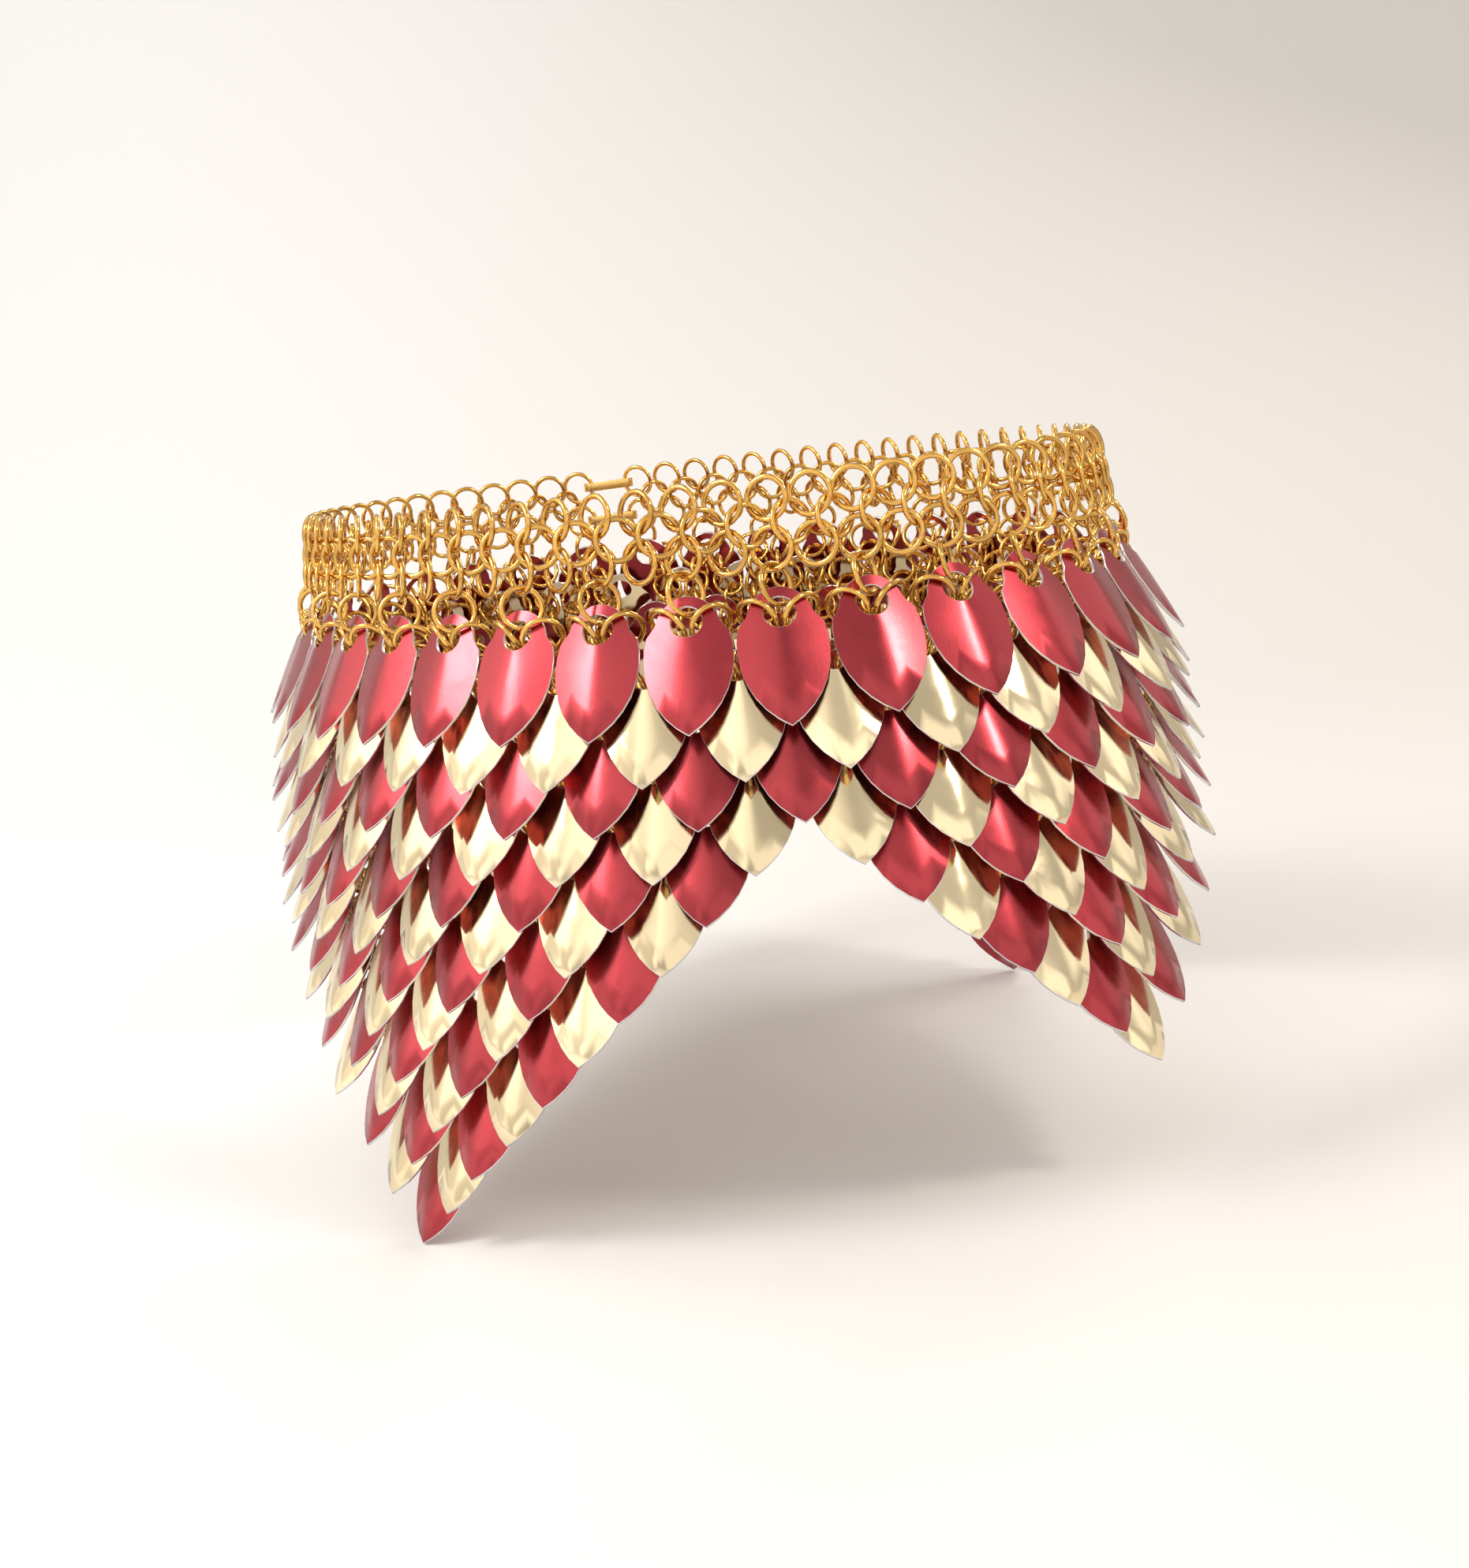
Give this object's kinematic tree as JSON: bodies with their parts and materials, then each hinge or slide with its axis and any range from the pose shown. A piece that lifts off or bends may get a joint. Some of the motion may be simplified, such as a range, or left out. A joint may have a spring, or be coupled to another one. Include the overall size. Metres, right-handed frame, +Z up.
{
  "type": "scale mail hip armour",
  "caption": "Hip armour of overlapping leaf-shaped metal scales that hang in pointed tiers from a belt of linked rings with a clasped opening.",
  "frame": {"origin": "centre of the waist loop at half the belt's height", "axes": "+Z up as worn, -Y to the wearer's front, +X to the wearer's left"},
  "size_m": [0.3058, 0.2662, 0.1961],
  "materials": {
    "red_scale": "anodised, satin",
    "champagne_scale": "anodised, polished",
    "gold_ring": "anodised, bright",
    "clasp_metal": "cast, polished",
    "spring_steel": "bright"
  },
  "bodies": {
    "belt_and_curtain": {"belt_rings": "gold_ring", "drop_rings": "gold_ring", "right_shoulder_rings": "gold_ring", "left_shoulder_rings": "gold_ring", "right_link_rings": "gold_ring", "left_link_rings": "gold_ring", "scale_row_02": "champagne_scale", "scale_row_03": "red_scale", "scale_row_04": "champagne_scale", "scale_row_05": "red_scale", "scale_row_06": "champagne_scale", "scale_row_07": "red_scale", "scale_row_08": "champagne_scale", "scale_row_09": "red_scale", "scale_row_10": "champagne_scale", "scale_row_11": "red_scale", "scale_row_12": "champagne_scale", "clasp_bodies": "clasp_metal", "clasp_pins": "spring_steel", "clasp_springs": "gold_ring"},
    "top_scale_01": {"top_scale_01": "red_scale"},
    "top_scale_02": {"top_scale_02": "red_scale"},
    "top_scale_03": {"top_scale_03": "red_scale"},
    "top_scale_04": {"top_scale_04": "red_scale"},
    "top_scale_05": {"top_scale_05": "red_scale"},
    "top_scale_06": {"top_scale_06": "red_scale"},
    "top_scale_07": {"top_scale_07": "red_scale"},
    "top_scale_08": {"top_scale_08": "red_scale"},
    "top_scale_09": {"top_scale_09": "red_scale"},
    "top_scale_10": {"top_scale_10": "red_scale"},
    "top_scale_11": {"top_scale_11": "red_scale"},
    "top_scale_12": {"top_scale_12": "red_scale"},
    "top_scale_13": {"top_scale_13": "red_scale"},
    "top_scale_14": {"top_scale_14": "red_scale"},
    "top_scale_15": {"top_scale_15": "red_scale"},
    "top_scale_16": {"top_scale_16": "red_scale"},
    "top_scale_17": {"top_scale_17": "red_scale"},
    "top_scale_18": {"top_scale_18": "red_scale"},
    "top_scale_19": {"top_scale_19": "red_scale"},
    "top_scale_20": {"top_scale_20": "red_scale"},
    "top_scale_21": {"top_scale_21": "red_scale"},
    "top_scale_22": {"top_scale_22": "red_scale"},
    "top_scale_23": {"top_scale_23": "red_scale"},
    "top_scale_24": {"top_scale_24": "red_scale"},
    "top_scale_25": {"top_scale_25": "red_scale"},
    "top_scale_26": {"top_scale_26": "red_scale"},
    "top_scale_27": {"top_scale_27": "red_scale"},
    "top_scale_28": {"top_scale_28": "red_scale"},
    "top_scale_29": {"top_scale_29": "red_scale"},
    "top_scale_30": {"top_scale_30": "red_scale"},
    "top_scale_31": {"top_scale_31": "red_scale"},
    "top_scale_32": {"top_scale_32": "red_scale"},
    "top_scale_33": {"top_scale_33": "red_scale"},
    "top_scale_34": {"top_scale_34": "red_scale"},
    "front_tip_scale": {"front_tip_scale": "red_scale"},
    "right_tip_scale": {"right_tip_scale": "champagne_scale"},
    "back_tip_scale": {"back_tip_scale": "red_scale"},
    "left_tip_scale": {"left_tip_scale": "champagne_scale"},
    "upper_clasp_lever": {"upper_clasp_lever": "clasp_metal"},
    "lower_clasp_lever": {"lower_clasp_lever": "clasp_metal"}
  },
  "joints": [
    {"name": "top_scale_01_swing", "type": "hinge", "parent": "belt_and_curtain", "child": "top_scale_01", "pos_m": [0, -0.11211, -0.01893], "axis": [-1, 0, 0], "range_deg": [0, 30]},
    {"name": "top_scale_02_swing", "type": "hinge", "parent": "belt_and_curtain", "child": "top_scale_02", "pos_m": [0.02262, -0.11046, -0.01893], "axis": [-0.9893, -0.1457, 0], "range_deg": [0, 30]},
    {"name": "top_scale_03_swing", "type": "hinge", "parent": "belt_and_curtain", "child": "top_scale_03", "pos_m": [0.04473, -0.1055, -0.01893], "axis": [-0.9565, -0.2919, 0], "range_deg": [0, 30]},
    {"name": "top_scale_04_swing", "type": "hinge", "parent": "belt_and_curtain", "child": "top_scale_04", "pos_m": [0.06582, -0.09722, -0.01893], "axis": [-0.899, -0.438, 0], "range_deg": [0, 30]},
    {"name": "top_scale_05_swing", "type": "hinge", "parent": "belt_and_curtain", "child": "top_scale_05", "pos_m": [0.08526, -0.08566, -0.01893], "axis": [-0.8128, -0.5825, 0], "range_deg": [0, 30]},
    {"name": "top_scale_06_swing", "type": "hinge", "parent": "belt_and_curtain", "child": "top_scale_06", "pos_m": [0.10235, -0.07091, -0.01893], "axis": [-0.6932, -0.7208, 0], "range_deg": [0, 30]},
    {"name": "top_scale_07_swing", "type": "hinge", "parent": "belt_and_curtain", "child": "top_scale_07", "pos_m": [0.11629, -0.05321, -0.01893], "axis": [-0.536, -0.8442, 0], "range_deg": [0, 30]},
    {"name": "top_scale_08_swing", "type": "hinge", "parent": "belt_and_curtain", "child": "top_scale_08", "pos_m": [0.12624, -0.03305, -0.01893], "axis": [-0.3413, -0.94, 0], "range_deg": [0, 30]},
    {"name": "top_scale_09_swing", "type": "hinge", "parent": "belt_and_curtain", "child": "top_scale_09", "pos_m": [0.13144, -0.01122, -0.01893], "axis": [-0.1175, -0.9931, 0], "range_deg": [0, 30]},
    {"name": "top_scale_10_swing", "type": "hinge", "parent": "belt_and_curtain", "child": "top_scale_10", "pos_m": [0.13144, 0.01122, -0.01893], "axis": [0.1175, -0.9931, 0], "range_deg": [0, 30]},
    {"name": "top_scale_11_swing", "type": "hinge", "parent": "belt_and_curtain", "child": "top_scale_11", "pos_m": [0.12624, 0.03305, -0.01893], "axis": [0.3413, -0.94, 0], "range_deg": [0, 30]},
    {"name": "top_scale_12_swing", "type": "hinge", "parent": "belt_and_curtain", "child": "top_scale_12", "pos_m": [0.11629, 0.05321, -0.01893], "axis": [0.536, -0.8442, 0], "range_deg": [0, 30]},
    {"name": "top_scale_13_swing", "type": "hinge", "parent": "belt_and_curtain", "child": "top_scale_13", "pos_m": [0.10235, 0.07091, -0.01893], "axis": [0.6932, -0.7208, 0], "range_deg": [0, 30]},
    {"name": "top_scale_14_swing", "type": "hinge", "parent": "belt_and_curtain", "child": "top_scale_14", "pos_m": [0.08526, 0.08566, -0.01893], "axis": [0.8128, -0.5825, 0], "range_deg": [0, 30]},
    {"name": "top_scale_15_swing", "type": "hinge", "parent": "belt_and_curtain", "child": "top_scale_15", "pos_m": [0.06582, 0.09722, -0.01893], "axis": [0.899, -0.438, 0], "range_deg": [0, 30]},
    {"name": "top_scale_16_swing", "type": "hinge", "parent": "belt_and_curtain", "child": "top_scale_16", "pos_m": [0.04473, 0.1055, -0.01893], "axis": [0.9565, -0.2919, 0], "range_deg": [0, 30]},
    {"name": "top_scale_17_swing", "type": "hinge", "parent": "belt_and_curtain", "child": "top_scale_17", "pos_m": [0.02262, 0.11046, -0.01893], "axis": [0.9893, -0.1457, 0], "range_deg": [0, 30]},
    {"name": "top_scale_18_swing", "type": "hinge", "parent": "belt_and_curtain", "child": "top_scale_18", "pos_m": [0, 0.11211, -0.01893], "axis": [1, 0, 0], "range_deg": [0, 30]},
    {"name": "top_scale_19_swing", "type": "hinge", "parent": "belt_and_curtain", "child": "top_scale_19", "pos_m": [-0.02262, 0.11046, -0.01893], "axis": [0.9893, 0.1457, 0], "range_deg": [0, 30]},
    {"name": "top_scale_20_swing", "type": "hinge", "parent": "belt_and_curtain", "child": "top_scale_20", "pos_m": [-0.04473, 0.1055, -0.01893], "axis": [0.9565, 0.2919, 0], "range_deg": [0, 30]},
    {"name": "top_scale_21_swing", "type": "hinge", "parent": "belt_and_curtain", "child": "top_scale_21", "pos_m": [-0.06582, 0.09722, -0.01893], "axis": [0.899, 0.438, 0], "range_deg": [0, 30]},
    {"name": "top_scale_22_swing", "type": "hinge", "parent": "belt_and_curtain", "child": "top_scale_22", "pos_m": [-0.08526, 0.08566, -0.01893], "axis": [0.8128, 0.5825, 0], "range_deg": [0, 30]},
    {"name": "top_scale_23_swing", "type": "hinge", "parent": "belt_and_curtain", "child": "top_scale_23", "pos_m": [-0.10235, 0.07091, -0.01893], "axis": [0.6932, 0.7208, 0], "range_deg": [0, 30]},
    {"name": "top_scale_24_swing", "type": "hinge", "parent": "belt_and_curtain", "child": "top_scale_24", "pos_m": [-0.11629, 0.05321, -0.01893], "axis": [0.536, 0.8442, 0], "range_deg": [0, 30]},
    {"name": "top_scale_25_swing", "type": "hinge", "parent": "belt_and_curtain", "child": "top_scale_25", "pos_m": [-0.12624, 0.03305, -0.01893], "axis": [0.3413, 0.94, 0], "range_deg": [0, 30]},
    {"name": "top_scale_26_swing", "type": "hinge", "parent": "belt_and_curtain", "child": "top_scale_26", "pos_m": [-0.13144, 0.01122, -0.01893], "axis": [0.1175, 0.9931, 0], "range_deg": [0, 30]},
    {"name": "top_scale_27_swing", "type": "hinge", "parent": "belt_and_curtain", "child": "top_scale_27", "pos_m": [-0.13144, -0.01122, -0.01893], "axis": [-0.1175, 0.9931, 0], "range_deg": [0, 30]},
    {"name": "top_scale_28_swing", "type": "hinge", "parent": "belt_and_curtain", "child": "top_scale_28", "pos_m": [-0.12624, -0.03305, -0.01893], "axis": [-0.3413, 0.94, 0], "range_deg": [0, 30]},
    {"name": "top_scale_29_swing", "type": "hinge", "parent": "belt_and_curtain", "child": "top_scale_29", "pos_m": [-0.11629, -0.05321, -0.01893], "axis": [-0.536, 0.8442, 0], "range_deg": [0, 30]},
    {"name": "top_scale_30_swing", "type": "hinge", "parent": "belt_and_curtain", "child": "top_scale_30", "pos_m": [-0.10235, -0.07091, -0.01893], "axis": [-0.6932, 0.7208, 0], "range_deg": [0, 30]},
    {"name": "top_scale_31_swing", "type": "hinge", "parent": "belt_and_curtain", "child": "top_scale_31", "pos_m": [-0.08526, -0.08566, -0.01893], "axis": [-0.8128, 0.5825, 0], "range_deg": [0, 30]},
    {"name": "top_scale_32_swing", "type": "hinge", "parent": "belt_and_curtain", "child": "top_scale_32", "pos_m": [-0.06582, -0.09722, -0.01893], "axis": [-0.899, 0.438, 0], "range_deg": [0, 30]},
    {"name": "top_scale_33_swing", "type": "hinge", "parent": "belt_and_curtain", "child": "top_scale_33", "pos_m": [-0.04473, -0.1055, -0.01893], "axis": [-0.9565, 0.2919, 0], "range_deg": [0, 30]},
    {"name": "top_scale_34_swing", "type": "hinge", "parent": "belt_and_curtain", "child": "top_scale_34", "pos_m": [-0.02262, -0.11046, -0.01893], "axis": [-0.9893, 0.1457, 0], "range_deg": [0, 30]},
    {"name": "front_tip_scale_swing", "type": "hinge", "parent": "belt_and_curtain", "child": "front_tip_scale", "pos_m": [0, -0.1169, -0.15754], "axis": [-1, 0, 0], "range_deg": [0, 15]},
    {"name": "right_tip_scale_swing", "type": "hinge", "parent": "belt_and_curtain", "child": "right_tip_scale", "pos_m": [0.1367, 0, -0.1231], "axis": [0, -1, 0], "range_deg": [0, 15]},
    {"name": "back_tip_scale_swing", "type": "hinge", "parent": "belt_and_curtain", "child": "back_tip_scale", "pos_m": [0, 0.1169, -0.15754], "axis": [1, 0, 0], "range_deg": [0, 15]},
    {"name": "left_tip_scale_swing", "type": "hinge", "parent": "belt_and_curtain", "child": "left_tip_scale", "pos_m": [-0.1367, 0, -0.1231], "axis": [0, 1, 0], "range_deg": [0, 15]},
    {"name": "upper_clasp_lever_turn", "type": "hinge", "parent": "belt_and_curtain", "child": "upper_clasp_lever", "pos_m": [-0.10517, 0.06181, 0.00594], "axis": [0, 0, 1], "range_deg": [0, 20], "stiffness_Nm_per_rad": 0.002, "springref_deg": -20.05},
    {"name": "lower_clasp_lever_turn", "type": "hinge", "parent": "belt_and_curtain", "child": "lower_clasp_lever", "pos_m": [-0.1064, 0.06299, -0.00594], "axis": [0, 0, 1], "range_deg": [0, 20], "stiffness_Nm_per_rad": 0.002, "springref_deg": -20.05}
  ]
}
